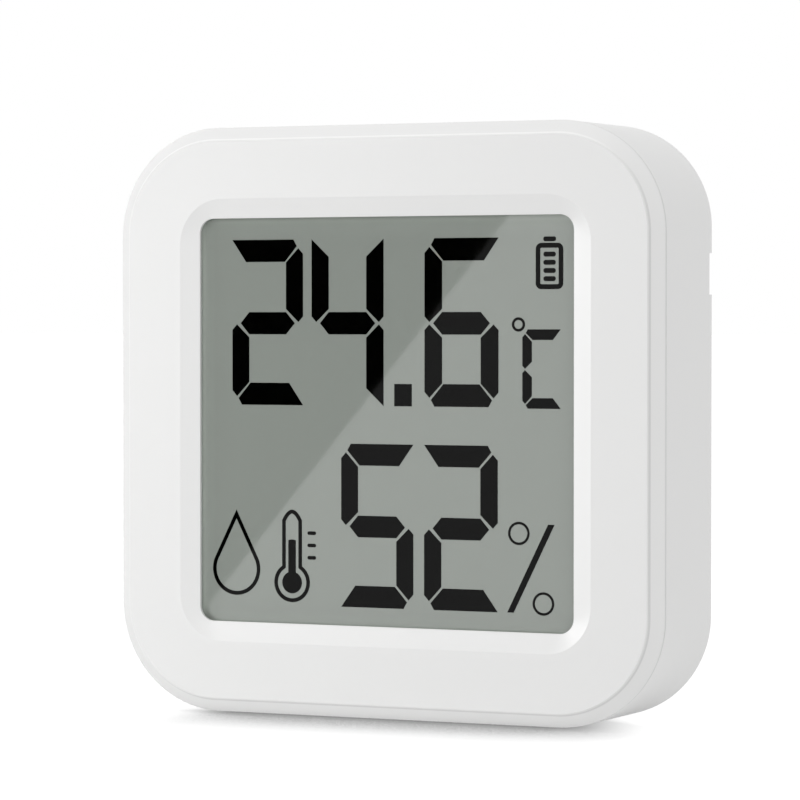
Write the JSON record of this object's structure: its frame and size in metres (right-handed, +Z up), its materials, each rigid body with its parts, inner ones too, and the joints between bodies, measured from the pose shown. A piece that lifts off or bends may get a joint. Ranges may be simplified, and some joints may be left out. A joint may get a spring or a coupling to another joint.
{
  "type": "temperature humidity sensor",
  "caption": "Small square room sensor with rounded corners: a segment display behind a bevelled window, clip-on rear battery cover, coin cell and a push button on the back.",
  "frame": {"origin": "middle of the footprint, on the surface that the sensor stands on", "axes": "+Z up, -Y out of the display, +X to the right seen from the front"},
  "size_m": [0.043, 0.012, 0.043],
  "materials": {
    "housing_white": "fine satin moulded plastic",
    "clear_window": "polished clear plastic",
    "display_film": "grey green polariser film",
    "display_glass": "polished thin glass",
    "foam": "closed cell foam",
    "holder_plastic": "natural moulded plastic",
    "elastomer": "striped conductive silicone",
    "gold_plate": "flash gold on copper",
    "board_laminate": "green solder resist",
    "screw_steel": "zinc plated",
    "black_resin": "cured epoxy drop",
    "sensor_case": "moulded sensor case",
    "bright_can": "drawn metal can",
    "resistor_body": "black film on ceramic",
    "capacitor_body": "tan ceramic",
    "switch_plastic": "black moulded plastic",
    "plunger_plastic": "grey moulded plastic",
    "button_plastic": "satin moulded plastic",
    "spring_metal": "nickel plated spring sheet",
    "cell_steel": "satin nickel plated steel",
    "gasket_plastic": "moulded sealing ring"
  },
  "bodies": {
    "housing": {"front_bezel": "housing_white", "rear_shell": "housing_white", "window_lens": "clear_window", "front_polariser": "display_film", "rear_polariser": "display_film", "lcd_front_glass": "display_glass", "lcd_rear_glass": "display_glass", "lcd_backing_foam": "foam", "lcd_holder": "holder_plastic", "upper_zebra_strip": "elastomer", "lower_zebra_strip": "elastomer", "board_contact_pads": "gold_plate", "circuit_board": "board_laminate", "board_screws": "screw_steel", "controller_chip": "black_resin", "humidity_sensor": "sensor_case", "timing_crystal": "bright_can", "resistors": "resistor_body", "capacitors": "capacitor_body", "switch_body": "switch_plastic", "battery_contact_negative": "spring_metal", "battery_contact_positive": "spring_metal", "cell_can": "cell_steel", "cell_cap": "cell_steel", "cell_gasket": "gasket_plastic"},
    "cover": {"rear_cover": "housing_white"},
    "button": {"button_cap": "button_plastic", "switch_plunger": "plunger_plastic"}
  },
  "joints": [
    {"name": "cover_pull", "type": "slide", "parent": "housing", "child": "cover", "axis": [0, 1, 0], "range_m": [0, 0.014]},
    {"name": "button_press", "type": "slide", "parent": "housing", "child": "button", "axis": [0, -1, 0], "range_m": [0, 0.00025], "stiffness_N_per_m": 1200, "springref_m": -0.0004}
  ]
}
